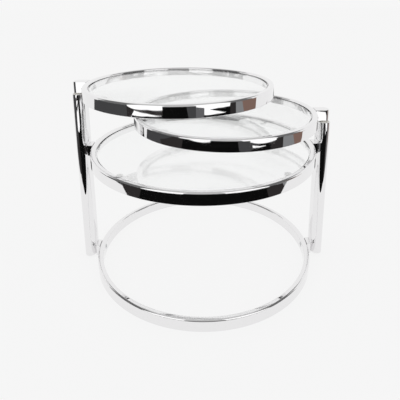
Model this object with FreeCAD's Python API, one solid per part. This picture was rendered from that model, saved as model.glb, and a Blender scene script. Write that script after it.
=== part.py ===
import FreeCAD, Part

import math
import os

V = FreeCAD.Vector
UP = V(0, 0, 1)
TINY = 1e-6

# ---------------------------------------------------------------------------
# Driving dimensions, millimetres and degrees
# ---------------------------------------------------------------------------

# Flat bar that every ring, lug and arm is made from
BAR_HEIGHT = 25.0
BAR_THICKNESS = 12.5

# The four rings
BASE_DIAMETER = 500.0
TIER_DIAMETER = 404.0
LOWER_HEIGHT = 281.0
MIDDLE_HEIGHT = 358.0
TOP_HEIGHT = 427.0

# Flat-oval tube of the two uprights
UPRIGHT_THICKNESS = 25.0
UPRIGHT_DEPTH = 50.0
UPRIGHT_WALL = 2.0
UPRIGHT_LIFT = 6.0
FOOT_PLUG_HEIGHT = 3.0

# Lugs that are welded between the fixed rings and the uprights
LUG_LENGTH = 9.0
LUG_DEPTH = 28.0

# Swivel arms and their bearings
ARM_DEPTH = 28.0
ARM_STANDOFF = 19.5
ARM_INSET = 1.0
ARM_CORNER = 6.0
ARM_SOCKET = 18.0
PIN_DIAMETER = 12.0
PIN_THREAD_DIAMETER = 8.0
PIN_TIP = 1.0
BEARING_DEPTH = 20.0
BEARING_FLANGE_DIAMETER = 24.0
BEARING_FLANGE = 1.2
LOCK_NUT_ACROSS = 13.0
LOCK_NUT_HEIGHT = 8.0
TOP_SWING = 5.3
MIDDLE_SWING = 0.0

# Glass discs and the tabs that they lie on
GLASS_THICKNESS = 6.0
GLASS_INSET = 4.5
TAB_WIDTH = 14.0
TAB_REACH = 18.0
TAB_HEIGHT = 4.5
TAB_COUNT = 4

# Clearances
GLASS_CLEARANCE = 1.5
RUNNING_CLEARANCE = 0.05
SEAT_CLEARANCE = 0.1
END_PLAY = 0.1

# ---------------------------------------------------------------------------
# Derived positions
# ---------------------------------------------------------------------------

BASE_RADIUS = BASE_DIAMETER / 2
TIER_RADIUS = TIER_DIAMETER / 2
INNER_FACE_X = BASE_RADIUS + LUG_LENGTH
PIVOT_X = INNER_FACE_X + UPRIGHT_THICKNESS / 2
SWIVEL_REACH = TIER_RADIUS + ARM_STANDOFF
ARM_END = UPRIGHT_THICKNESS / 2 - ARM_INSET
STACK = BAR_HEIGHT + BEARING_FLANGE
LEFT, RIGHT = -1, 1


# ---------------------------------------------------------------------------
# Shared shapes
# ---------------------------------------------------------------------------

def turned(shape, angle, centre):
    """A copy turned by angle about the vertical line through centre."""
    copy = shape.copy()
    copy.rotate(centre, UP, angle)
    return copy


def disc(radius, height, centre, bottom):
    """A round plate or rod standing on the level bottom."""
    return Part.makeCylinder(radius, height, V(centre.x, centre.y, bottom))


def hexagon(across, height, centre, bottom):
    """A six-sided prism standing on the level bottom, across its flats."""
    radius = across / 2 / math.cos(math.pi / 6)
    corners = []
    for n in range(7):
        a = math.radians(60 * n + 30)
        corners.append(V(centre.x + radius * math.cos(a), centre.y + radius * math.sin(a), bottom))
    return Part.Face(Part.makePolygon(corners)).extrude(V(0, 0, height))


def flat_oval(thickness, depth, centre_x, bottom, height):
    """A column with two flat sides and half-round front and back ends."""
    r = thickness / 2
    half = depth / 2 - r
    a, b = V(centre_x + r, -half, bottom), V(centre_x + r, half, bottom)
    c, d = V(centre_x - r, half, bottom), V(centre_x - r, -half, bottom)
    back = V(centre_x, depth / 2, bottom)
    front = V(centre_x, -depth / 2, bottom)
    edges = [
        Part.LineSegment(a, b).toShape(),
        Part.Arc(b, back, c).toShape(),
        Part.LineSegment(c, d).toShape(),
        Part.Arc(d, front, a).toShape(),
    ]
    return Part.Face(Part.Wire(edges)).extrude(V(0, 0, height))


# ---------------------------------------------------------------------------
# Rings, glass and tabs
# ---------------------------------------------------------------------------

def ring(radius, top, centre):
    """Flat bar rolled the easy way into a hoop."""
    bottom = top - BAR_HEIGHT
    hoop = disc(radius, BAR_HEIGHT, centre, bottom)
    return hoop.cut(disc(radius - BAR_THICKNESS, BAR_HEIGHT, centre, bottom))


def glass_disc(ring_radius, top, centre):
    """A round pane let into its ring."""
    radius = ring_radius - BAR_THICKNESS - GLASS_CLEARANCE
    return disc(radius, GLASS_THICKNESS, centre, top - GLASS_INSET - GLASS_THICKNESS)


def glass_tab(ring_radius, top, centre, angle):
    """A round-ended tab on the inner wall, its root coped to the wall."""
    wall = ring_radius - BAR_THICKNESS
    out = wall - TAB_REACH + TAB_WIDTH / 2
    bottom = top - GLASS_INSET - GLASS_THICKNESS - TAB_HEIGHT
    end = disc(TAB_WIDTH / 2, TAB_HEIGHT, centre + V(out, 0, 0), bottom)
    corner = centre + V(out, -TAB_WIDTH / 2, bottom)
    strip = Part.makeBox(TAB_REACH, TAB_WIDTH, TAB_HEIGHT, corner)
    inside = disc(wall, TAB_HEIGHT, centre, bottom)
    tab = end.fuse(strip.common(inside)).removeSplitter()
    return turned(tab, angle, centre)


# ---------------------------------------------------------------------------
# Uprights, their plugs and the lugs on them
# ---------------------------------------------------------------------------

def upright_top(tier_top):
    """Level of the upright's upper end, under the bearing flange."""
    return tier_top - STACK


def upright(side, tier_top):
    """Flat-oval tube, open at both ends."""
    x = side * PIVOT_X
    height = upright_top(tier_top) - UPRIGHT_LIFT
    bore = 2 * UPRIGHT_WALL
    tube = flat_oval(UPRIGHT_THICKNESS, UPRIGHT_DEPTH, x, UPRIGHT_LIFT, height)
    hollow = flat_oval(UPRIGHT_THICKNESS - bore, UPRIGHT_DEPTH - bore, x, UPRIGHT_LIFT, height)
    return tube.cut(hollow)


def plug(side, bottom, height):
    """A flat-oval plug that fills the tube's bore."""
    bore = 2 * (UPRIGHT_WALL + SEAT_CLEARANCE)
    return flat_oval(
        UPRIGHT_THICKNESS - bore, UPRIGHT_DEPTH - bore, side * PIVOT_X, bottom, height
    )


def foot_plug(side):
    """Closes the lower end of the tube."""
    return plug(side, UPRIGHT_LIFT, FOOT_PLUG_HEIGHT)


def bearing_plug(side, tier_top):
    """Moulded bearing: closes the tube, guides the pin, and its flange carries the arm."""
    axis = V(side * PIVOT_X, 0, 0)
    level = upright_top(tier_top)
    bottom = level - BEARING_DEPTH
    flange = disc(BEARING_FLANGE_DIAMETER / 2, BEARING_FLANGE, axis, level)
    bore = PIN_DIAMETER / 2 + RUNNING_CLEARANCE
    body = plug(side, bottom, BEARING_DEPTH).fuse(flange)
    return body.cut(disc(bore, BEARING_DEPTH + BEARING_FLANGE, axis, bottom))


def lug(side, top):
    """A short block between ring and upright, coped to the ring."""
    bottom = top - BAR_HEIGHT
    start = min(0, side * INNER_FACE_X)
    corner = V(start, -LUG_DEPTH / 2, bottom)
    block = Part.makeBox(INNER_FACE_X, LUG_DEPTH, BAR_HEIGHT, corner)
    return block.cut(disc(BASE_RADIUS, BAR_HEIGHT, V(), bottom))


# ---------------------------------------------------------------------------
# Swivel arms, pins and lock nuts
# ---------------------------------------------------------------------------

def arm_heading(side, swing):
    """Direction from pivot to ring centre: inwards, swung to the front."""
    return -swing if side == LEFT else 180 + swing


def ring_centre(side, swing):
    """Centre of a swivelling ring in its resting position."""
    heading = math.radians(arm_heading(side, swing))
    reach = V(math.cos(heading), math.sin(heading), 0) * SWIVEL_REACH
    return V(side * PIVOT_X, 0, 0) + reach


def arm(side, top, swing):
    """Flat bar from pivot to ring: rounded outer corners, coped inner end."""
    axis = V(side * PIVOT_X, 0, 0)
    bottom = top - BAR_HEIGHT
    length = ARM_END + ARM_STANDOFF + BAR_THICKNESS
    block = Part.makeBox(length, ARM_DEPTH, BAR_HEIGHT, V(-ARM_END, -ARM_DEPTH / 2, bottom))
    corners = [
        e for e in block.Edges
        if e.tangentAt(e.FirstParameter).cross(UP).Length < TINY and e.CenterOfMass.x < 0
    ]
    block = block.makeFillet(ARM_CORNER, corners)
    block = block.cut(disc(TIER_RADIUS, BAR_HEIGHT, V(SWIVEL_REACH, 0, 0), bottom))
    block = block.cut(disc(PIN_DIAMETER / 2, ARM_SOCKET, V(), bottom))
    block.translate(axis)
    return turned(block, arm_heading(side, swing), axis)


def pin_shoulder(top):
    """Level at which the pin steps down to its thread."""
    return upright_top(top) - BEARING_DEPTH - END_PLAY


def pivot_pin(side, top):
    """Pin pressed into the arm, running in the bearing plug, threaded below."""
    axis = V(side * PIVOT_X, 0, 0)
    shoulder = pin_shoulder(top)
    head = top - BAR_HEIGHT + ARM_SOCKET
    tail = LOCK_NUT_HEIGHT + PIN_TIP
    shank = disc(PIN_DIAMETER / 2, head - shoulder, axis, shoulder)
    return shank.fuse(disc(PIN_THREAD_DIAMETER / 2, tail, axis, shoulder - tail))


def lock_nut(side, top):
    """Locking nut that bears on the plug's lower end and keeps the pin in."""
    axis = V(side * PIVOT_X, 0, 0)
    bottom = pin_shoulder(top) - LOCK_NUT_HEIGHT
    body = hexagon(LOCK_NUT_ACROSS, LOCK_NUT_HEIGHT, axis, bottom)
    bore = PIN_THREAD_DIAMETER / 2 + RUNNING_CLEARANCE
    return body.cut(disc(bore, LOCK_NUT_HEIGHT, axis, bottom))


# ---------------------------------------------------------------------------
# Sub-assemblies
# ---------------------------------------------------------------------------

def glazing(name, ring_radius, top, centre, heading):
    """The pane of one tier and its tabs."""
    made = {name + "_glass": glass_disc(ring_radius, top, centre)}
    step = 360 / TAB_COUNT
    for n in range(TAB_COUNT):
        angle = heading + step * (n + 0.5)
        made[f"{name}_tab_{n + 1}"] = glass_tab(ring_radius, top, centre, angle)
    return made


def side_frame(name, side, tier_top):
    """One upright with its plugs and lugs."""
    return {
        name + "_upright": upright(side, tier_top),
        name + "_foot_plug": foot_plug(side),
        name + "_bearing_plug": bearing_plug(side, tier_top),
        name + "_base_lug": lug(side, BAR_HEIGHT),
        name + "_lower_lug": lug(side, LOWER_HEIGHT),
    }


def swivel_tier(name, side, top, swing):
    """One swivelling tier with its arm, pin, lock nut and glazing."""
    centre = ring_centre(side, swing)
    made = {
        name + "_ring": ring(TIER_RADIUS, top, centre),
        name + "_arm": arm(side, top, swing),
        name + "_pivot_pin": pivot_pin(side, top),
        name + "_lock_nut": lock_nut(side, top),
    }
    made.update(glazing(name, TIER_RADIUS, top, centre, arm_heading(side, swing)))
    return made


def table():
    """Every named piece of the table."""
    made = {
        "base_ring": ring(BASE_RADIUS, BAR_HEIGHT, V()),
        "lower_ring": ring(BASE_RADIUS, LOWER_HEIGHT, V()),
    }
    made.update(glazing("lower", BASE_RADIUS, LOWER_HEIGHT, V(), 0))
    made.update(side_frame("left", LEFT, TOP_HEIGHT))
    made.update(side_frame("right", RIGHT, MIDDLE_HEIGHT))
    made.update(swivel_tier("middle", RIGHT, MIDDLE_HEIGHT, MIDDLE_SWING))
    made.update(swivel_tier("top", LEFT, TOP_HEIGHT, TOP_SWING))
    return made


os.makedirs("parts", exist_ok=True)
for node, shape in table().items():
    solid = shape.Solids[0] if len(shape.Solids) == 1 else shape
    solid.exportStep(f"parts/{node}.step")
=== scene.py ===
"""Tiered side table: chromed bar rings, clear panes and swivelling tiers on two uprights."""

from __future__ import annotations

import logging
import math
from dataclasses import dataclass
from enum import Enum

import bmesh
import bpy
from bmesh.types import BMEdge, BMesh, BMVert
from bpy.types import Material, Node, NodeSocket, NodeTree, Object
from mathutils import Matrix, Vector

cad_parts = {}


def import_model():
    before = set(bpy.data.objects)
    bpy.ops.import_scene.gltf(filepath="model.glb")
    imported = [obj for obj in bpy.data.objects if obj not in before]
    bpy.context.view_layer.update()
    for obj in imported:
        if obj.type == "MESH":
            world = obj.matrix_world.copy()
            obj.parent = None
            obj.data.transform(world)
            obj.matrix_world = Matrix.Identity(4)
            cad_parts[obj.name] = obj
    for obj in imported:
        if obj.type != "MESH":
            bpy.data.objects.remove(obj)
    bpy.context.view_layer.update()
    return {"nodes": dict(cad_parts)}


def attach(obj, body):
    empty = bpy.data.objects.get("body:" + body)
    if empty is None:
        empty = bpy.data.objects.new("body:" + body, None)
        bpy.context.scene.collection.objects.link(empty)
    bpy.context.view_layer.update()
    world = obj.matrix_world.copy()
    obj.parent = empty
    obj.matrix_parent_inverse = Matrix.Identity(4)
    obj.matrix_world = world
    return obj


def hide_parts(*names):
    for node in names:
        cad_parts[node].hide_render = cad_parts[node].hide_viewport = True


LOG = logging.getLogger("side_table")
UP = Vector((0.0, 0.0, 1.0))

# The table is shaped in millimetres, and a finished piece is in metres
MM = 0.001

# Driving dimensions, in millimetres
BASE_TOP = 25.0
LOWER_TOP = 281.0
MIDDLE_TOP = 358.0
UPPERMOST_TOP = 427.0
FIXED_RADIUS = 250.0
SWIVEL_RADIUS = 202.0
PIVOT = 271.5
LINK_DEPTH = 28.0

# Points this near, in millimetres, are one, and levels this near are the same
WELD = 0.0005
NEAR = 0.001

# The least turn, in degrees, of an edge that is rounded, and of one that is shaded sharp
EASED_TURN = 60.0
SHARP_TURN = 50.0


# ---------------------------------------------------------------------------
# Shader node helpers and the groups that several finishes share
# ---------------------------------------------------------------------------

class NodeBench:
    """Places and joins shader nodes in one node tree."""

    def __init__(self, tree: NodeTree) -> None:
        """Keeps the tree that the nodes go into."""
        self.tree = tree

    def add(self, kind: str, **settings: object) -> Node:
        """Adds a node.

        Args:
            kind: The node's type name.
            settings: Properties to set on it, or input values where the name is a socket's.

        Returns:
            The new node.
        """
        node = self.tree.nodes.new(kind)
        for name, value in settings.items():
            if hasattr(node, name):
                setattr(node, name, value)
            else:
                node.inputs[name.replace("_", " ").title()].default_value = value
        return node

    def join(self, source: NodeSocket, target: NodeSocket) -> None:
        """Links an output to an input."""
        self.tree.links.new(source, target)


class SharedGroup:
    """A node group that is built once and placed in each material that needs it."""

    title = "Shared"
    inputs: tuple[str, ...] = ()
    outputs: tuple[str, ...] = ()

    def group(self) -> NodeTree:
        """Finds the group, or builds it the first time.

        Returns:
            The node group.
        """
        found = bpy.data.node_groups.get(self.title)
        if found:
            return found
        tree = bpy.data.node_groups.new(self.title, "ShaderNodeTree")
        tree.interface.new_socket(name="Vector", in_out="INPUT", socket_type="NodeSocketVector")
        for in_out, names in (("INPUT", self.inputs), ("OUTPUT", self.outputs)):
            for name in names:
                tree.interface.new_socket(name=name, in_out=in_out, socket_type="NodeSocketFloat")
        bench = NodeBench(tree)
        self.wire(bench, bench.add("NodeGroupInput"), bench.add("NodeGroupOutput"))
        return tree

    def wire(self, bench: NodeBench, entry: Node, out: Node) -> None:
        """Fills the group with nodes, between its inputs and its outputs."""
        raise NotImplementedError

    def place(self, bench: NodeBench, place: NodeSocket, **values: float) -> Node:
        """Places the group in a material.

        Args:
            bench: The material's nodes.
            place: The output that gives the position on the piece.
            values: Input values, named as the sockets are but in small letters.

        Returns:
            The group's node.
        """
        node = bench.add("ShaderNodeGroup", node_tree=self.group(), **values)
        bench.join(place, node.inputs["Vector"])
        return node


class PolishWear(SharedGroup):
    """Faint clouding, wiping marks and waviness of a polished or moulded surface."""

    title = "Polish wear"
    inputs = ("Low", "High", "Wave", "Grain", "Grain Height")
    outputs = ("Roughness", "Cloud", "Height")

    def wire(self, bench: NodeBench, entry: Node, out: Node) -> None:
        """Clouding sets the roughness; long waves and fine marks set the height.

        Args:
            bench: The group's nodes.
            entry: The group's inputs.
            out: The group's outputs.
        """
        cloud = bench.add("ShaderNodeTexNoise", scale=26.0, detail=5.0, roughness=0.62)
        bench.join(entry.outputs["Vector"], cloud.inputs["Vector"])
        spread = bench.add("ShaderNodeMapRange", from_min=0.38, from_max=0.72)
        bench.join(cloud.outputs["Fac"], spread.inputs["Value"])
        bench.join(entry.outputs["Low"], spread.inputs["To Min"])
        bench.join(entry.outputs["High"], spread.inputs["To Max"])
        bench.join(spread.outputs["Result"], out.inputs["Roughness"])
        bench.join(cloud.outputs["Fac"], out.inputs["Cloud"])

        wave = bench.add("ShaderNodeTexNoise", detail=1.0)
        bench.join(entry.outputs["Vector"], wave.inputs["Vector"])
        bench.join(entry.outputs["Wave"], wave.inputs["Scale"])
        grain = bench.add("ShaderNodeTexNoise", detail=3.0)
        bench.join(entry.outputs["Vector"], grain.inputs["Vector"])
        bench.join(entry.outputs["Grain"], grain.inputs["Scale"])
        fine = bench.add("ShaderNodeMath", operation="MULTIPLY")
        bench.join(grain.outputs["Fac"], fine.inputs[0])
        bench.join(entry.outputs["Grain Height"], fine.inputs[1])
        total = bench.add("ShaderNodeMath", operation="ADD")
        bench.join(wave.outputs["Fac"], total.inputs[0])
        bench.join(fine.outputs[0], total.inputs[1])
        bench.join(total.outputs[0], out.inputs["Height"])


class SettledDust(SharedGroup):
    """Dust and smears: a thin mask, stronger where the noise gathers it."""

    title = "Settled dust"
    inputs = ("Amount", "Scale")
    outputs = ("Mask",)

    def wire(self, bench: NodeBench, entry: Node, out: Node) -> None:
        """Thresholds a fine noise, and scales it by the amount.

        Args:
            bench: The group's nodes.
            entry: The group's inputs.
            out: The group's outputs.
        """
        noise = bench.add("ShaderNodeTexNoise", detail=6.0, roughness=0.7)
        bench.join(entry.outputs["Vector"], noise.inputs["Vector"])
        bench.join(entry.outputs["Scale"], noise.inputs["Scale"])
        gather = bench.add("ShaderNodeMapRange", from_min=0.5, from_max=0.85)
        bench.join(noise.outputs["Fac"], gather.inputs["Value"])
        scaled = bench.add("ShaderNodeMath", operation="MULTIPLY")
        bench.join(gather.outputs["Result"], scaled.inputs[0])
        bench.join(entry.outputs["Amount"], scaled.inputs[1])
        bench.join(scaled.outputs[0], out.inputs["Mask"])


# ---------------------------------------------------------------------------
# Finishes
# ---------------------------------------------------------------------------

Colour = tuple[float, float, float]

# A Mix node has a socket named A, B and Result for each kind of value; these are the colour's
MIX_CLEAN = 6
MIX_WORN = 7
MIX_RESULT = 2


@dataclass(frozen=True)
class Finish:
    """What every finish has: a name, a slot of the record, two colours and its wear."""

    title: str
    slot: str
    clean: Colour
    worn: Colour
    rough_low: float
    rough_high: float
    wave: float = 9.0
    grain: float = 900.0
    grain_height: float = 0.02
    relief_depth: float = 0.0
    dust_amount: float = 0.0
    dust_scale: float = 60.0

    def material(self) -> Material:
        """Finds the finish's material, or builds it the first time.

        Returns:
            The material.
        """
        found = bpy.data.materials.get(self.title)
        if found:
            return found
        made = bpy.data.materials.new(self.title)
        made.use_nodes = True
        bench = NodeBench(made.node_tree)
        shader = made.node_tree.nodes["Principled BSDF"]
        self.weather(bench, shader)
        self.dress(bench, shader)
        return made

    def weather(self, bench: NodeBench, shader: Node) -> None:
        """Joins the roughness, the colour and the relief, which vary over the surface.

        Args:
            bench: The material's nodes.
            shader: The material's shader.
        """
        place = bench.add("ShaderNodeTexCoord").outputs["Object"]
        wear = PolishWear().place(
            bench, place, low=self.rough_low, high=self.rough_high, wave=self.wave,
            grain=self.grain, grain_height=self.grain_height,
        )
        bench.join(wear.outputs["Roughness"], shader.inputs["Roughness"])
        mix = bench.add("ShaderNodeMix", data_type="RGBA")
        mix.inputs[MIX_CLEAN].default_value = (*self.clean, 1.0)
        mix.inputs[MIX_WORN].default_value = (*self.worn, 1.0)
        bench.join(self.worn_share(bench, place, wear), mix.inputs["Factor"])
        bench.join(mix.outputs[MIX_RESULT], shader.inputs["Base Color"])
        if self.relief_depth:
            bump = bench.add("ShaderNodeBump", strength=1.0, distance=self.relief_depth)
            bench.join(wear.outputs["Height"], bump.inputs["Height"])
            bench.join(bump.outputs["Normal"], shader.inputs["Normal"])

    def worn_share(self, bench: NodeBench, place: NodeSocket, wear: Node) -> NodeSocket:
        """The output that mixes the worn colour in: here, where dust has settled."""
        dust = SettledDust().place(bench, place, amount=self.dust_amount, scale=self.dust_scale)
        return dust.outputs["Mask"]

    def dress(self, bench: NodeBench, shader: Node) -> None:
        """Sets what is the same all over the surface, which is nothing on a plain finish."""


@dataclass(frozen=True)
class Plating(Finish):
    """Metal plate, bright or dull, with a little dust."""

    def dress(self, bench: NodeBench, shader: Node) -> None:
        """Makes the surface a metal."""
        shader.inputs["Metallic"].default_value = 1.0


@dataclass(frozen=True)
class ClearGlass(Finish):
    """Clear float glass, a little green where it is looked through edgeways."""

    index: float = 1.5
    gloss: float = 0.16
    edge_colour: Colour = (0.55, 0.86, 0.74)
    edge_density: float = 2.2

    def dress(self, bench: NodeBench, shader: Node) -> None:
        """Lets light through, and takes a little of it up inside.

        Args:
            bench: The material's nodes.
            shader: The material's shader.
        """
        shader.inputs["Transmission Weight"].default_value = 1.0
        shader.inputs["IOR"].default_value = self.index
        shader.inputs["Specular IOR Level"].default_value = self.gloss
        inside = bench.add("ShaderNodeVolumeAbsorption", density=self.edge_density)
        inside.inputs["Color"].default_value = (*self.edge_colour, 1.0)
        output = bench.tree.nodes["Material Output"]
        bench.join(inside.outputs["Volume"], output.inputs["Volume"])


@dataclass(frozen=True)
class Moulding(Finish):
    """Moulded plastic with a fine grain, whose colour and roughness follow its clouding."""

    rough_low: float = 0.35
    rough_high: float = 0.55
    relief_depth: float = 0.00006

    def worn_share(self, bench: NodeBench, place: NodeSocket, wear: Node) -> NodeSocket:
        """The output that mixes the worn colour in: here, where the moulding is clouded."""
        return wear.outputs["Cloud"]


class Finishes(Enum):
    """The finishes of the table."""

    CHROME = Plating(
        "Chrome plate", "chrome", (0.87, 0.865, 0.87), (0.79, 0.785, 0.785), 0.015, 0.05,
        wave=11.0, grain=1400.0, grain_height=0.002, relief_depth=0.00009,
        dust_amount=0.25, dust_scale=240.0,
    )
    ZINC = Plating(
        "Zinc plate", "zinc_steel", (0.68, 0.69, 0.70), (0.5, 0.5, 0.48), 0.22, 0.42,
        relief_depth=0.00005, dust_amount=0.6, dust_scale=120.0,
    )
    GLASS = ClearGlass(
        "Clear glass", "glass", (0.985, 0.983, 0.984), (0.96, 0.957, 0.958), 0.0, 0.012,
        wave=6.0, dust_amount=0.5, dust_scale=45.0,
    )
    NYLON = Moulding("Natural nylon", "white_nylon", (0.82, 0.81, 0.77), (0.74, 0.72, 0.66))
    BLACK = Moulding("Black moulding", "black_plastic", (0.03, 0.03, 0.03), (0.05, 0.05, 0.05))
    VINYL = Moulding("Milky vinyl", "white_nylon", (0.90, 0.90, 0.89), (0.84, 0.84, 0.83), 0.25, 0.4)


# ---------------------------------------------------------------------------
# Shaping pieces; sizes are in millimetres until a piece is finished
# ---------------------------------------------------------------------------

def move_mesh(bm: BMesh, x: float = 0.0, y: float = 0.0, z: float = 0.0) -> None:
    """Moves a whole mesh."""
    bmesh.ops.translate(bm, verts=bm.verts, vec=(x, y, z))


def turn_mesh(bm: BMesh, angle: float, axis: str = "Z") -> None:
    """Turns a whole mesh about an axis through the origin, by an angle in radians."""
    turn = Matrix.Rotation(angle, 3, axis)
    bmesh.ops.rotate(bm, verts=bm.verts, cent=(0.0, 0.0, 0.0), matrix=turn)


def plan_circle(bm: BMesh, radius: float, segments: int) -> list[BMVert]:
    """Adds a filled circle in plan, and returns its vertices."""
    made = bmesh.ops.create_circle(bm, cap_ends=True, radius=radius, segments=segments)
    return made["verts"]


def raise_plan(bm: BMesh, height: float) -> None:
    """Extrudes every face of a flat plan straight up into a closed block.

    Args:
        bm: The mesh that holds the plan.
        height: The block's height.
    """
    faces = bm.faces[:]
    made = bmesh.ops.extrude_face_region(bm, geom=faces, use_keep_orig=True)
    top = [g for g in made["geom"] if isinstance(g, BMVert)]
    bmesh.ops.translate(bm, vec=(0.0, 0.0, height), verts=top)


def ease_edges(bm: BMesh, radius: float, facets: int) -> None:
    """Rounds every edge of a closed mesh that turns by more than the eased turn.

    Args:
        bm: The closed mesh.
        radius: How far back from the edge the rounding starts.
        facets: The facets across it.
    """
    bmesh.ops.recalc_face_normals(bm, faces=bm.faces)
    limit = math.radians(EASED_TURN)
    edges = [e for e in bm.edges if len(e.link_faces) == 2 and e.calc_face_angle() > limit]
    bmesh.ops.bevel(
        bm, geom=edges, offset=radius, offset_type="OFFSET", segments=facets,
        profile=0.5, affect="EDGES", material=-1, clamp_overlap=True,
    )


def round_corners(bm: BMesh, corners: list[BMVert], radius: float, facets: int) -> None:
    """Rounds corners of a flat shape.

    Args:
        bm: The mesh that holds the shape.
        corners: The corners.
        radius: How far back from a corner the rounding starts.
        facets: The facets across it.
    """
    bmesh.ops.bevel(
        bm, geom=corners, offset=radius, offset_type="OFFSET", segments=facets,
        profile=0.5, affect="VERTICES", material=-1,
    )


def round_disc(radius: float, height: float, sides: int, edge: float, facets: int) -> BMesh:
    """A flat disc about the origin with its rims eased.

    Args:
        radius: Its radius.
        height: Its thickness.
        sides: The number of its sides.
        edge: How far back the rounding of its rims starts.
        facets: The facets across that rounding.

    Returns:
        The mesh.
    """
    bm = bmesh.new()
    bmesh.ops.create_cone(
        bm, cap_ends=True, segments=sides, radius1=radius, radius2=radius, depth=height,
    )
    ease_edges(bm, edge, facets)
    return bm


def add_object(bm: BMesh, name: str, material: Material) -> Object:
    """Turns a mesh into an object of the scene.

    Args:
        bm: The mesh; it is freed.
        name: The object's name.
        material: Its material.

    Returns:
        The object.
    """
    mesh = bpy.data.meshes.new(name)
    bm.to_mesh(mesh)
    bm.free()
    mesh.materials.append(material)
    made = bpy.data.objects.new(name, mesh)
    bpy.context.scene.collection.objects.link(made)
    return made


def finish_piece(
    bm: BMesh, name: str, finish: Finishes, body: str, replaces: str | None = None,
) -> Object:
    """Turns a shaped mesh into a dressed piece that rides on a body.

    Args:
        bm: The mesh, in millimetres; it is freed.
        name: The piece's name.
        finish: Its finish.
        body: The body that it rides on.
        replaces: The node that it stands for, if any.

    Returns:
        The piece.
    """
    bmesh.ops.remove_doubles(bm, verts=bm.verts, dist=WELD)
    bmesh.ops.scale(bm, vec=(MM, MM, MM), verts=bm.verts)
    bmesh.ops.recalc_face_normals(bm, faces=bm.faces)
    piece = add_object(bm, name, finish.value.material())
    mesh = piece.data
    mesh.polygons.foreach_set("use_smooth", [True] * len(mesh.polygons))
    mesh.set_sharp_from_angle(angle=math.radians(SHARP_TURN))
    even = piece.modifiers.new("Even shading", "WEIGHTED_NORMAL")
    even.keep_sharp = True
    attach(piece, body)
    if replaces:
        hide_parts(replaces)
    LOG.info("%s: %d faces on %s", name, len(mesh.polygons), body)
    return piece


@dataclass(frozen=True)
class Bar:
    """The flat bar that rings, lugs and arms are made from."""

    height: float = 25.0
    thickness: float = 12.5
    upper_edge: float = 4.0
    upper_facets: int = 9
    lower_edge: float = 1.2
    lower_facets: int = 3
    end_edge: float = 0.7
    end_facets: int = 3
    cope_steps: int = 12


@dataclass(frozen=True)
class Spot:
    """Where a tier is: its ring's centre, its top and the way that its arm points."""

    x: float
    y: float
    top: float
    heading: float = 0.0

    def turn_into_place(self, bm: BMesh) -> None:
        """Turns a mesh that is built about the origin by the heading, and moves it here."""
        turn_mesh(bm, math.radians(self.heading))
        move_mesh(bm, self.x, self.y)


# ---------------------------------------------------------------------------
# Tier: ring, pane, tabs and pads
# ---------------------------------------------------------------------------

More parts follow.
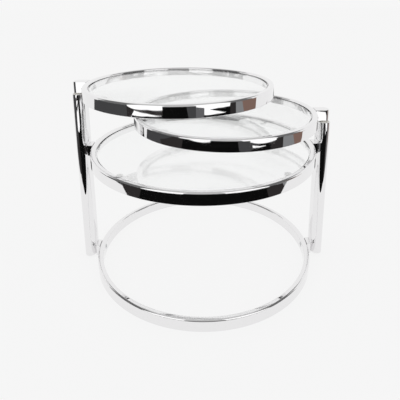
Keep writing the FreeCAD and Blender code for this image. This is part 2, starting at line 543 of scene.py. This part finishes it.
@dataclass(frozen=True)
class Tier:
    """A ring with its pane on round-ended tabs and milky pads."""

    name: str
    body: str
    radius: float
    spot: Spot
    glazed: bool = True
    bar: Bar = Bar()
    steps: int = 288
    pane_thickness: float = 6.0
    pane_inset: float = 4.5
    pane_gap: float = 1.5
    pane_edge: float = 0.8
    tab_width: float = 14.0
    tab_reach: float = 18.0
    tab_height: float = 3.0
    tab_edge: float = 0.45
    tab_count: int = 4
    pad_diameter: float = 13.0
    pad_height: float = 1.5
    pad_play: float = 0.04
    pad_edge: float = 0.3
    small_steps: int = 40
    edge_facets: int = 2

    @property
    def wall(self) -> float:
        """Radius of the ring's inner wall."""
        return self.radius - self.bar.thickness

    @property
    def tab_middle(self) -> float:
        """Distance from the ring's centre to the middle of a tab's round end."""
        return self.wall - self.tab_reach + self.tab_width / 2

    @property
    def pane_bottom(self) -> float:
        """Level of the pane's underside."""
        return self.spot.top - self.pane_inset - self.pane_thickness

    def build(self) -> None:
        """Builds every piece of the tier."""
        self.ring()
        if not self.glazed:
            return
        self.pane()
        for n in range(self.tab_count):
            self.tab(n)
            self.pad(n)

    def ring(self) -> Object:
        """Rolls the rounded section of the bar round into a closed hoop.

        Returns:
            The ring.
        """
        bm = bmesh.new()
        bmesh.ops.create_grid(bm, x_segments=1, y_segments=1, size=0.5)
        bmesh.ops.scale(bm, vec=(self.bar.thickness, self.bar.height, 1.0), verts=bm.verts)
        for up, edge, facets in (
            (1, self.bar.upper_edge, self.bar.upper_facets),
            (-1, self.bar.lower_edge, self.bar.lower_facets),
        ):
            corners = [v for v in bm.verts if v.co.y * up > self.bar.height / 2 - NEAR]
            round_corners(bm, corners, edge, facets)
        turn_mesh(bm, math.pi / 2, "X")
        out = self.radius - self.bar.thickness / 2
        move_mesh(bm, out, 0.0, self.spot.top - self.bar.height / 2)
        bmesh.ops.delete(bm, geom=bm.faces[:], context="FACES_ONLY")
        bmesh.ops.spin(
            bm, geom=bm.verts[:] + bm.edges[:], cent=(0.0, 0.0, 0.0), axis=UP,
            angle=2 * math.pi, steps=self.steps, use_merge=True, use_duplicate=False,
        )
        self.spot.turn_into_place(bm)
        return finish_piece(bm, f"{self.name}_hoop", Finishes.CHROME, self.body, f"{self.name}_ring")

    def pane(self) -> Object:
        """A round pane with ground edges.

        Returns:
            The pane.
        """
        bm = round_disc(
            self.wall - self.pane_gap, self.pane_thickness, self.steps, self.pane_edge,
            self.edge_facets,
        )
        middle = self.spot.top - self.pane_inset - self.pane_thickness / 2
        move_mesh(bm, self.spot.x, self.spot.y, middle)
        piece = finish_piece(bm, f"{self.name}_pane", Finishes.GLASS, self.body, f"{self.name}_glass")
        piece.visible_shadow = False
        piece.visible_diffuse = False
        return piece

    def tab(self, n: int) -> Object:
        """A round-ended tab whose root follows the ring's inner wall.

        Args:
            n: Which of the tabs it is.

        Returns:
            The tab.
        """
        bm = bmesh.new()
        for v in plan_circle(bm, self.tab_width / 2, self.small_steps):
            v.co.x += self.tab_middle
            if v.co.x > self.tab_middle:
                v.co.x = math.sqrt(self.wall ** 2 - v.co.y ** 2)
        raise_plan(bm, self.tab_height)
        ease_edges(bm, self.tab_edge, self.edge_facets)
        self.carry_to_tab(bm, n, 0.0, self.pane_bottom - self.pad_height - self.tab_height)
        node = f"{self.name}_tab_{n + 1}"
        return finish_piece(bm, f"{self.name}_rest_{n + 1}", Finishes.CHROME, self.body, node)

    def pad(self, n: int) -> Object:
        """A milky disc between a tab and the pane.

        Args:
            n: Which of the pads it is.

        Returns:
            The pad.
        """
        bm = round_disc(
            self.pad_diameter / 2, self.pad_height - 2 * self.pad_play, self.small_steps,
            self.pad_edge, self.edge_facets,
        )
        self.carry_to_tab(bm, n, self.tab_middle, self.pane_bottom - self.pad_height / 2)
        return finish_piece(bm, f"{self.name}_pad_{n + 1}", Finishes.VINYL, self.body)

    def carry_to_tab(self, bm: BMesh, n: int, out: float, level: float) -> None:
        """Moves a mesh out and up, and round to one of the tabs.

        Args:
            bm: The mesh, built about the origin.
            n: Which of the tabs it goes to.
            out: How far it moves out.
            level: How far it moves up.
        """
        move_mesh(bm, out, 0.0, level)
        turn_mesh(bm, 2 * math.pi * (n + 0.5) / self.tab_count)
        self.spot.turn_into_place(bm)


# ---------------------------------------------------------------------------
# Side: upright, lugs and screws
# ---------------------------------------------------------------------------

@dataclass(frozen=True)
class Side:
    """One flat-oval upright with the lugs that tie it to the two fixed rings."""

    name: str
    sign: int
    tier_top: float
    body: str = "frame"
    bar: Bar = Bar()
    pivot: float = PIVOT
    ring_radius: float = FIXED_RADIUS
    ring_tops: tuple[float, ...] = (BASE_TOP, LOWER_TOP)
    lug_names: tuple[str, ...] = ("base_lug", "lower_lug")
    screw_rises: tuple[float, ...] = (15.0, 11.0)
    thickness: float = 25.0
    depth: float = 50.0
    wall: float = 2.0
    oval_sides: int = 64
    rim_edge: float = 0.6
    rim_facets: int = 3
    lift: float = 6.0
    flange: float = 1.2
    lug_depth: float = LINK_DEPTH
    screw_radius: float = 6.0
    screw_sides: int = 36
    screw_height: float = 1.0
    screw_proud: float = 0.5
    key_radius: float = 2.3
    key_sides: int = 6
    key_depth: float = 0.9

    def build(self) -> None:
        """Builds the upright, its lugs and their screws."""
        self.upright()
        for lug_name, top, rise in zip(self.lug_names, self.ring_tops, self.screw_rises):
            self.lug(lug_name, top)
            self.screw(lug_name, top - self.bar.height + rise)

    def oval_plan(self, bm: BMesh) -> None:
        """Adds the tube's section in plan, a flat oval ring as thick as the wall.

        Args:
            bm: The mesh to add to.
        """
        verts = plan_circle(bm, self.thickness / 2, self.oval_sides)
        half_side = math.pi / self.oval_sides
        turn_mesh(bm, half_side)
        widen = 1 / math.cos(half_side)
        for v in verts:
            v.co.x *= widen
            v.co.y += math.copysign((self.depth - self.thickness) / 2, v.co.y)
        bore = bm.faces[:]
        bmesh.ops.inset_region(
            bm, faces=bore, thickness=self.wall, use_boundary=True, use_even_offset=True,
        )
        bmesh.ops.delete(bm, geom=bore, context="FACES_ONLY")

    def upright(self) -> Object:
        """A flat-oval tube with its rims eased.

        Returns:
            The upright.
        """
        bm = bmesh.new()
        self.oval_plan(bm)
        raise_plan(bm, self.tier_top - self.bar.height - self.flange - self.lift)
        ease_edges(bm, self.rim_edge, self.rim_facets)
        move_mesh(bm, self.sign * self.pivot, 0.0, self.lift)
        return finish_piece(bm, f"{self.name}_post", Finishes.CHROME, self.body, f"{self.name}_upright")

    def lug(self, lug_name: str, top: float) -> Object:
        """A short block from the ring to the upright, coped to the ring.

        Args:
            lug_name: Its node's name without the side.
            top: Level of its upper face.

        Returns:
            The lug.
        """
        bm = bmesh.new()
        bmesh.ops.create_grid(bm, x_segments=1, y_segments=self.bar.cope_steps, size=0.5)
        face = self.pivot - self.thickness / 2
        for v in bm.verts:
            v.co.y *= self.lug_depth
            inner = v.co.x < 0
            v.co.x = math.sqrt(self.ring_radius ** 2 - v.co.y ** 2) if inner else face
            v.co.x *= self.sign
        raise_plan(bm, self.bar.height)
        ease_edges(bm, self.bar.end_edge, self.bar.end_facets)
        move_mesh(bm, z=top - self.bar.height)
        node = f"{self.name}_{lug_name}"
        return finish_piece(bm, f"{node}_block", Finishes.CHROME, self.body, node)

    def screw(self, lug_name: str, level: float) -> Object:
        """The head of the socket screw in the ring's inner wall.

        Args:
            lug_name: The lug that it holds.
            level: Height of its axis.

        Returns:
            The screw head.
        """
        bm = bmesh.new()
        rim, key = (
            bmesh.ops.create_circle(bm, cap_ends=False, radius=radius, segments=sides)
            for radius, sides in (
                (self.screw_radius, self.screw_sides), (self.key_radius, self.key_sides),
            )
        )
        rim_edges = list({e for v in rim["verts"] for e in v.link_edges})
        key_edges = list({e for v in key["verts"] for e in v.link_edges})
        bmesh.ops.bridge_loops(bm, edges=rim_edges + key_edges)
        for edges, drop in ((rim_edges, self.screw_height), (key_edges, self.key_depth)):
            made = bmesh.ops.extrude_edge_only(bm, edges=edges)
            verts = [g for g in made["geom"] if isinstance(g, BMVert)]
            bmesh.ops.translate(bm, verts=verts, vec=(0.0, 0.0, -drop))
            loop = [g for g in made["geom"] if isinstance(g, BMEdge)]
            open_loop = [e for e in loop if len(e.link_faces) == 1]
            bmesh.ops.edgeloop_fill(bm, edges=open_loop)
        turn_mesh(bm, -self.sign * math.pi / 2, "Y")
        place = self.sign * (self.ring_radius - self.bar.thickness - self.screw_proud)
        move_mesh(bm, place, 0.0, level)
        return finish_piece(bm, f"{self.name}_{lug_name}_screw", Finishes.ZINC, self.body)


# ---------------------------------------------------------------------------
# Swivel arm
# ---------------------------------------------------------------------------

@dataclass(frozen=True)
class Arm:
    """The bar that carries a swivelling ring over its upright."""

    name: str
    sign: int
    swing: float
    top: float
    body: str
    ring_radius: float = SWIVEL_RADIUS
    bar: Bar = Bar()
    pivot: float = PIVOT
    reach: float = 221.5
    end: float = 11.5
    depth: float = LINK_DEPTH
    corner: float = 10.5
    corner_facets: int = 8

    @property
    def heading(self) -> float:
        """Direction from the pivot to the ring's centre, in degrees."""
        return -self.swing if self.sign < 0 else 180.0 + self.swing

    def build(self) -> Object:
        """Shapes the arm in plan, raises it, and eases its edges.

        Returns:
            The arm.
        """
        bm = bmesh.new()
        bmesh.ops.create_grid(bm, x_segments=1, y_segments=self.bar.cope_steps, size=0.5)
        for v in bm.verts:
            v.co.y *= self.depth
            if v.co.x < 0:
                v.co.x = -self.end
            else:
                v.co.x = self.reach - math.sqrt(self.ring_radius ** 2 - v.co.y ** 2)
        outer = [v for v in bm.verts if v.co.x < 0 and abs(v.co.y) > self.depth / 2 - NEAR]
        self.round_outer_corners(bm, outer)
        raise_plan(bm, self.bar.height)
        ease_edges(bm, self.bar.end_edge, self.bar.end_facets)
        move_mesh(bm, z=self.top - self.bar.height)
        turn_mesh(bm, math.radians(self.heading))
        move_mesh(bm, self.sign * self.pivot)
        return finish_piece(bm, f"{self.name}_link", Finishes.CHROME, self.body, f"{self.name}_arm")

    def round_outer_corners(self, bm: BMesh, outer: list[BMVert]) -> None:
        """Joins the plan into one face and rounds its two outer corners.

        Args:
            bm: The mesh that holds the plan.
            outer: The two corners.
        """
        bmesh.ops.dissolve_faces(bm, faces=bm.faces[:], use_verts=False)
        inside = [v for v in bm.verts if v.co.x < 0 and v not in outer]
        bmesh.ops.dissolve_verts(bm, verts=inside)
        round_corners(bm, outer, self.corner, self.corner_facets)


# ---------------------------------------------------------------------------
# Nodes that stay as they are
# ---------------------------------------------------------------------------

def dress_hidden_nodes(frame: dict) -> None:
    """Gives the plugs, pins and nuts their finishes.
    """
    endings = {
        "_foot_plug": Finishes.BLACK,
        "_bearing_plug": Finishes.NYLON,
        "_pivot_pin": Finishes.ZINC,
        "_lock_nut": Finishes.ZINC,
    }
    for name, node in frame["nodes"].items():
        for ending, finish in endings.items():
            if name.endswith(ending):
                node.data.materials.clear()
                node.data.materials.append(finish.value.material())
                LOG.info("%s: %s", name, finish.value.title)


# ---------------------------------------------------------------------------
# Stage: floor, surround, cards, lamps and camera
# ---------------------------------------------------------------------------

Place = tuple[float, float, float]
Spread = tuple[float, float]
Post = tuple[float, float, float, float]

# Levels of the stage, in metres
LYING = 0.001
PANEL_TOP = 1.4
UPPER_PANEL_TOP = 2.7

# Brightnesses, where 1 is white
PALE: Colour = (0.93, 0.93, 0.93)
BRIGHT: Colour = (1.2, 1.2, 1.2)
SOFT: Colour = (0.62, 0.62, 0.62)
DULL: Colour = (0.28, 0.28, 0.28)
SLATE: Colour = (0.24, 0.245, 0.25)
WARM: Colour = (0.22, 0.14, 0.115)
DIM: Colour = (0.16, 0.16, 0.16)
GREY: Colour = (0.13, 0.13, 0.135)
DUSKY: Colour = (0.06, 0.06, 0.062)
DARK: Colour = (0.03, 0.027, 0.027)
BLACK: Colour = (0.004, 0.004, 0.004)


@dataclass(frozen=True)
class Card:
    """A panel, flat or bent, that is seen only by way of a reflection.

    It spans two lines with the same number of points, and may thin out softly at its sides
    and at those lines, each over a share of its breadth.
    """

    name: str
    level: Colour
    first_line: tuple[Place, ...]
    second_line: tuple[Place, ...]
    fade: Spread = (0.0, 0.0)

    @classmethod
    def lying(
        cls, name: str, level: Colour, *corners: Spread, height: float = LYING,
        fade: Spread = (0.0, 0.0),
    ) -> Card:
        """A level card, by its four corners in order in plan, and its height above the floor."""
        a, b, c, d = ((x, y, height) for x, y in corners)
        return cls(name, level, (a, b), (d, c), fade)

    @classmethod
    def sloping(cls, name: str, level: Colour, *posts: Post) -> Card:
        """An upright card whose lower and upper edges may slope.

        Args:
            name: Its name.
            level: Its brightness, where 1 is white.
            posts: The points that it passes through in plan, each with its two levels.

        Returns:
            The card.
        """
        low = tuple((x, y, bottom) for x, y, bottom, _ in posts)
        high = tuple((x, y, top) for x, y, _, top in posts)
        return cls(name, level, low, high)

    @classmethod
    def standing(cls, name: str, level: Colour, rise: Spread, *plan: Spread) -> Card:
        """An upright card, by the levels of its two edges and the points that it passes in plan."""
        return cls.sloping(name, level, *((x, y, *rise) for x, y in plan))

    def build(self) -> Object:
        """Makes the card.

        Returns:
            The card's object.
        """
        bm = bmesh.new()
        bm.loops.layers.uv.new("spread")
        spans = len(self.first_line) - 1
        bmesh.ops.create_grid(bm, x_segments=spans, y_segments=1, size=1.0, calc_uvs=True)
        for v in bm.verts:
            line = self.first_line if v.co.y < 0 else self.second_line
            v.co = line[round((v.co.x + 1) / 2 * spans)]
        card = add_object(bm, self.name, self.material())
        card.visible_camera = False
        card.visible_diffuse = False
        card.visible_shadow = False
        LOG.info("%s: level %.2f", self.name, self.level[0])
        return card

    def material(self) -> Material:
        """Even brightness for a ray that has been reflected, and clear for any other.

        Returns:
            The material.
        """
        surface = EvenSurface(f"{self.name} surface", self.level)
        bench = surface.bench
        share = reflected(bench)
        for axis, width in enumerate(self.fade):
            if width:
                share = self.thin_out(bench, share, axis, width)
        clear = bench.add("ShaderNodeBsdfTransparent")
        either = bench.add("ShaderNodeMixShader")
        bench.join(share, either.inputs[0])
        bench.join(clear.outputs[0], either.inputs[1])
        bench.join(surface.glow.outputs[0], either.inputs[2])
        bench.join(either.outputs[0], surface.output)
        return surface.material

    def thin_out(self, bench: NodeBench, share: NodeSocket, axis: int, width: float) -> NodeSocket:
        """Softens two opposite edges.

        Args:
            bench: The nodes to add to.
            share: How much of the card shows so far.
            axis: 0 for the card's ends, and 1 for its two lines.
            width: The share of the breadth over which it thins out.

        Returns:
            How much of the card shows now.
        """
        spot = bench.add("ShaderNodeSeparateXYZ")
        bench.join(bench.add("ShaderNodeTexCoord").outputs["UV"], spot.inputs[0])
        inward = bench.add("ShaderNodeMath", operation="PINGPONG")
        inward.inputs[1].default_value = 0.5
        bench.join(spot.outputs[axis], inward.inputs[0])
        rise = bench.add("ShaderNodeMapRange", interpolation_type="SMOOTHSTEP", from_max=width)
        bench.join(inward.outputs[0], rise.inputs["Value"])
        less = bench.add("ShaderNodeMath", operation="MULTIPLY")
        bench.join(share, less.inputs[0])
        bench.join(rise.outputs["Result"], less.inputs[1])
        return less.outputs[0]


def reflected(bench: NodeBench) -> NodeSocket:
    """Whether a ray has been reflected by something glossy on its way.

    Args:
        bench: The nodes to add to.

    Returns:
        The output, which is 1 for such a ray and otherwise 0.
    """
    rays = bench.add("ShaderNodeLightPath")
    test = bench.add("ShaderNodeMath", operation="GREATER_THAN")
    test.inputs[1].default_value = 0.5
    bench.join(rays.outputs["Glossy Depth"], test.inputs[0])
    return test.outputs[0]


class EvenSurface:
    """A material with an even glow, which its user joins to the output."""

    def __init__(self, title: str, level: Colour) -> None:
        """Makes the material.

        Args:
            title: Its name.
            level: Its brightness, where 1 is white.
        """
        self.material = bpy.data.materials.new(title)
        self.material.use_nodes = True
        nodes = self.material.node_tree.nodes
        nodes.remove(nodes["Principled BSDF"])
        self.output = nodes["Material Output"].inputs["Surface"]
        self.bench = NodeBench(self.material.node_tree)
        self.glow = self.bench.add("ShaderNodeEmission")
        self.glow.inputs["Color"].default_value = (*level, 1.0)


@dataclass(frozen=True)
class Floor:
    """The wide pale floor."""

    shade: float = 0.9285
    own: float = 0.06
    reach: float = 40.0

    def build(self) -> Object:
        """Lays the floor and gives it its pale surface.

        Returns:
            The floor.
        """
        bm = bmesh.new()
        bmesh.ops.create_grid(bm, x_segments=1, y_segments=1, size=self.reach)
        floor = add_object(bm, "floor", self.material())
        return floor

    def material(self) -> Material:
        """Mostly even, with a small lit share that holds the table's shadow.

        Returns:
            The material.
        """
        glow_level = self.shade - self.own
        surface = EvenSurface("Pale floor", (glow_level, glow_level, glow_level))
        bench = surface.bench
        lit = bench.add("ShaderNodeBsdfDiffuse")
        lit.inputs["Color"].default_value = (self.own, self.own, self.own, 1.0)
        both = bench.add("ShaderNodeAddShader")
        bench.join(surface.glow.outputs[0], both.inputs[0])
        bench.join(lit.outputs[0], both.inputs[1])
        bench.join(both.outputs[0], surface.output)
        return surface.material


@dataclass(frozen=True)
class Surround:
    """The room: pale to the eye, in metal and through glass, and plain as a light."""

    pale: float = 0.9258
    light: float = 0.84

    def build(self) -> None:
        """Sets the world's shader."""
        world = bpy.data.worlds.new("Studio")
        bpy.context.scene.world = world
        world.use_nodes = True
        world.node_tree.nodes.clear()
        bench = NodeBench(world.node_tree)
        rays = bench.add("ShaderNodeLightPath")
        seen = rays.outputs["Is Camera Ray"]
        for ray in ("Is Glossy Ray", "Is Transmission Ray"):
            either = bench.add("ShaderNodeMath", operation="MAXIMUM")
            bench.join(seen, either.inputs[0])
            bench.join(rays.outputs[ray], either.inputs[1])
            seen = either.outputs[0]
        room = bench.add("ShaderNodeMixShader")
        bench.join(seen, room.inputs[0])
        bench.join(self.shade(bench, self.light).outputs[0], room.inputs[1])
        bench.join(self.shade(bench, self.pale).outputs[0], room.inputs[2])
        output = bench.add("ShaderNodeOutputWorld")
        bench.join(room.outputs[0], output.inputs["Surface"])

    def shade(self, bench: NodeBench, level: float) -> Node:
        """A background shader of even brightness.

        Args:
            bench: The nodes to add to.
            level: Its brightness, where 1 is white.

        Returns:
            The shader's node.
        """
        node = bench.add("ShaderNodeBackground")
        node.inputs["Color"].default_value = (level, level, level, 1.0)
        return node


@dataclass(frozen=True)
class SoftLamp:
    """A large soft lamp, itself not mirrored by the chrome."""

    name: str
    place: Place
    aim: Place
    size: float
    radiance: float

    def build(self) -> Object:
        """Hangs the lamp and turns it to its aim.

        Returns:
            The lamp.
        """
        data = bpy.data.lights.new(self.name, "AREA")
        data.shape = "SQUARE"
        data.size = self.size
        data.energy = self.radiance * math.pi * self.size ** 2
        lamp = bpy.data.objects.new(self.name, data)
        bpy.context.scene.collection.objects.link(lamp)
        away = Vector(self.place) - Vector(self.aim)
        turn = away.to_track_quat("Z", "Y").to_matrix().to_4x4()
        lamp.matrix_world = Matrix.Translation(self.place) @ turn
        lamp.visible_camera = False
        lamp.visible_glossy = False
        lamp.visible_transmission = False
        LOG.info("%s: %.2f W", self.name, data.energy)
        return lamp


@dataclass(frozen=True)
class StudioCamera:
    """The camera, in front of the table and looking a little down on it."""

    place: Place = (-0.00919, -0.86400, 0.59168)
    yaw: float = 0.004350
    pitch: float = 0.239454
    roll: float = -0.008658
    lens: float = 35.8947
    shift: float = -0.25
    sensor: float = 36.0
    near: float = 0.01
    far: float = 200.0

    def build(self) -> Object:
        """Sets the camera up and makes it the scene's.

        Returns:
            The camera.
        """
        ahead = Vector((
            math.sin(self.yaw) * math.cos(self.pitch),
            math.cos(self.yaw) * math.cos(self.pitch),
            -math.sin(self.pitch),
        ))
        level = Vector((math.cos(self.yaw), -math.sin(self.yaw), 0.0))
        over = level.cross(ahead)
        right = math.cos(self.roll) * level + math.sin(self.roll) * over
        top = math.cos(self.roll) * over - math.sin(self.roll) * level
        data = bpy.data.cameras.new("camera")
        data.sensor_width = self.sensor
        data.sensor_fit = "HORIZONTAL"
        data.lens = self.lens
        data.shift_y = self.shift
        data.clip_start = self.near
        data.clip_end = self.far
        camera = bpy.data.objects.new("camera", data)
        bpy.context.scene.collection.objects.link(camera)
        turn = Matrix((right, top, -ahead)).transposed().to_4x4()
        camera.matrix_world = Matrix.Translation(self.place) @ turn
        bpy.context.scene.camera = camera
        return camera


@dataclass(frozen=True)
class Stage:
    """Floor, surround, cards and lamps."""

    floor: Floor = Floor()
    surround: Surround = Surround()
    backdrops: tuple[Card, ...] = (
        Card.standing("backdrop", PALE, (0.0, 3.2), (-2.6, 2.0), (2.6, 2.0)),
        Card.standing("left_backdrop", PALE, (0.0, 2.4), (-2.6, 2.0), (-3.2, 0.3)),
        Card.standing("right_backdrop", PALE, (0.0, 2.4), (2.6, 2.0), (3.2, 0.0)),
        Card.standing(
            "front_wall", DIM, (0.0, 2.8), (-3.2, 0.3), (-4.2, -1.0), (-4.2, -4.2), (4.2, -4.2),
            (4.2, -1.0), (3.2, 0.0),
        ),
        Card.lying("ceiling", DIM, (-4.2, -4.2), (4.2, -4.2), (4.2, 2.2), (-4.2, 2.2), height=2.8),
    )
    aprons: tuple[Card, ...] = (
        Card.lying("near_apron", BLACK, (-0.50, -0.365), (0.50, -0.365), (1.0, -0.95), (-1.0, -0.95)),
        Card.lying("middle_apron", BLACK, (-0.75, -0.95), (0.25, -0.95), (0.35, -4.0), (-1.0, -4.0)),
        Card.lying("left_apron", DARK, (-1.0, -0.95), (-0.75, -0.95), (-1.0, -4.0), (-4.0, -4.0)),
        Card.lying("left_near_apron", DARK, (-0.50, -0.365), (-1.0, -0.95), (-1.06, -0.2), (-0.725, -0.26)),
        Card.lying("left_side_apron", DUSKY, (-0.725, -0.26), (-1.06, -0.2), (-1.78, 0.4), (-0.96, 0.26)),
        Card.lying("left_far_apron", DUSKY, (-1.06, -0.2), (-1.0, -0.95), (-4.0, -4.0), (-4.0, -0.3)),
        Card.lying("left_rear_apron", DUSKY, (-1.06, -0.2), (-4.0, -0.3), (-4.0, 0.75), (-1.78, 0.4)),
        Card.lying("right_apron", DUSKY, (0.25, -0.95), (1.0, -0.95), (4.0, -4.0), (0.35, -4.0)),
        Card.lying("right_near_apron", DARK, (0.50, -0.365), (0.70, -0.265), (0.86, -0.457), (1.0, -0.95)),
        Card.lying("right_far_apron", DARK, (1.0, -0.95), (0.86, -0.457), (4.0, -1.77), (4.0, -4.0)),
        Card.lying("right_slate", SLATE, (0.70, -0.265), (0.90, -0.14), (1.64, -0.46), (0.86, -0.457)),
        Card.lying("right_far_slate", SLATE, (0.86, -0.457), (1.64, -0.46), (4.0, -1.48), (4.0, -1.77)),
        Card.lying("right_tan", WARM, (0.90, -0.14), (1.18, 0.03), (2.3, 0.35), (1.64, -0.46)),
        Card.lying("right_far_tan", WARM, (1.64, -0.46), (2.3, 0.35), (4.0, 0.4), (4.0, -1.48)),
        Card.lying(
            "right_patch", BRIGHT, (0.528, -1.012), (0.516, -0.972), (0.760, -0.836), (0.762, -0.842),
            height=2 * LYING,
        ),
    )
    panels: tuple[Card, ...] = (
        Card(
            "left_panel", BRIGHT,
            ((-0.31, -1.072, 0.022), (-0.61, -0.935, 0.0136), (-0.99, -0.762, 0.008)),
            ((-0.31, -1.072, PANEL_TOP), (-0.61, -0.935, PANEL_TOP), (-0.95, -0.78, PANEL_TOP)),
        ),
        Card.sloping(
            "left_wedge", DARK, (-0.305, -1.058, 0.1505, 0.183), (-0.564, -0.943, 0.165, 0.187),
            (-0.811, -0.83, 0.1655, 0.173), (-0.875, -0.801, 0.1286, 0.171), (-0.99, -0.749, 0.05, 0.171),
        ),
        Card.sloping(
            "left_sill", BLACK, (-0.305, -1.058, 0.13, 0.1503), (-0.564, -0.943, 0.128, 0.15),
            (-0.875, -0.801, 0.108, 0.131),
        ),
        Card.standing(
            "left_upper_panel", SOFT, (PANEL_TOP, UPPER_PANEL_TOP), (-0.310, -1.072), (-0.95, -0.78),
        ),
        Card.standing("middle_panel", DULL, (0.36, 0.6), (-0.310, -1.072), (0.341, -1.131)),
        Card.standing(
            "middle_upper_panel", SOFT, (0.6, UPPER_PANEL_TOP), (-0.310, -1.072), (0.341, -1.131),
        ),
        Card.standing("grey_panel", GREY, (0.06, 0.170), (0.341, -1.131), (0.487, -1.037)),
        Card.standing("right_tip", BRIGHT, (0.170, PANEL_TOP), (0.341, -1.131), (0.487, -1.037)),
        Card.sloping(
            "right_panel", BRIGHT, (0.487, -1.037, 0.022, PANEL_TOP), (0.589, -0.972, 0.017, PANEL_TOP),
            (0.853, -0.803, 0.0085, PANEL_TOP), (1.0, -0.71, 0.001, PANEL_TOP),
        ),
        Card.standing(
            "right_upper_panel", SOFT, (PANEL_TOP, UPPER_PANEL_TOP), (0.341, -1.131), (1.0, -0.7095),
        ),
        Card.sloping(
            "right_wedge", BLACK, (0.58, -0.964, 0.1615, 0.1625), (0.727, -0.87, 0.1445, 0.1621),
            (0.898, -0.76, 0.1157, 0.1505), (0.993, -0.699, 0.1, 0.141),
        ),
        Card.sloping(
            "right_sill", BLACK, (0.475, -1.027, 0.095, 0.1297), (0.718, -0.875, 0.095, 0.128),
            (0.898, -0.76, 0.08, 0.1157), (0.993, -0.699, 0.06, 0.1),
        ),
        Card.lying(
            "overhead_panel", SOFT, (-1.6, -0.9), (1.6, -0.9), (1.6, 2.2), (-1.6, 2.2),
            height=UPPER_PANEL_TOP, fade=(0.12, 0.12),
        ),
        Card.lying(
            "rear_left_card", DUSKY, (-0.95, 0.62), (-0.16, 0.62), (-0.16, 2.0), (-0.95, 2.0),
            fade=(0.3, 0.3),
        ),
        Card.lying(
            "rear_right_card", DUSKY, (0.16, 0.62), (0.95, 0.62), (0.95, 2.0), (0.16, 2.0),
            fade=(0.3, 0.3),
        ),
    )
    lamps: tuple[SoftLamp, ...] = (
        SoftLamp("left_lamp", (-1.5, -1.3, 1.7), (0.0, 0.0, 0.25), 1.2, 0.55),
        SoftLamp("right_lamp", (1.6, -1.2, 1.6), (0.0, 0.0, 0.25), 1.2, 0.35),
    )

    def build(self) -> None:
        """Builds the whole stage."""
        self.floor.build()
        self.surround.build()
        for card in self.backdrops + self.aprons + self.panels:
            card.build()
        for lamp in self.lamps:
            lamp.build()


# ---------------------------------------------------------------------------
# The table
# ---------------------------------------------------------------------------

@dataclass(frozen=True)
class Table:
    """All the sub-assemblies of the table."""

    base: Tier = Tier("base", "frame", FIXED_RADIUS, Spot(0.0, 0.0, BASE_TOP), glazed=False)
    lower: Tier = Tier("lower", "frame", FIXED_RADIUS, Spot(0.0, 0.0, LOWER_TOP))
    sides: tuple[Side, ...] = (Side("left", -1, UPPERMOST_TOP), Side("right", 1, MIDDLE_TOP))
    arms: tuple[Arm, ...] = (
        Arm("middle", 1, 0.0, MIDDLE_TOP, "middle_tier"),
        Arm("top", -1, 5.3, UPPERMOST_TOP, "top_tier"),
    )

    def swivel_tier(self, arm: Arm) -> Tier:
        """The tier that an arm carries.

        Args:
            arm: The arm.

        Returns:
            The tier, at the end of the arm's reach.
        """
        turn = math.radians(arm.heading)
        x = arm.sign * arm.pivot + arm.reach * math.cos(turn)
        y = arm.reach * math.sin(turn)
        return Tier(arm.name, arm.body, arm.ring_radius, Spot(x, y, arm.top, arm.heading))

    def build(self) -> None:
        """Builds every piece of the table."""
        self.base.build()
        self.lower.build()
        for side in self.sides:
            side.build()
        for arm in self.arms:
            arm.build()
            self.swivel_tier(arm).build()


def main() -> None:
    """Loads the frame, then builds the table, its stage and the camera."""
    logging.basicConfig(level=logging.INFO, format="%(name)s: %(message)s")
    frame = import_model()
    Table().build()
    dress_hidden_nodes(frame)
    Stage().build()
    StudioCamera().build()
    bpy.context.scene.view_settings.view_transform = "Standard"


if __name__ == "__main__":
    main()
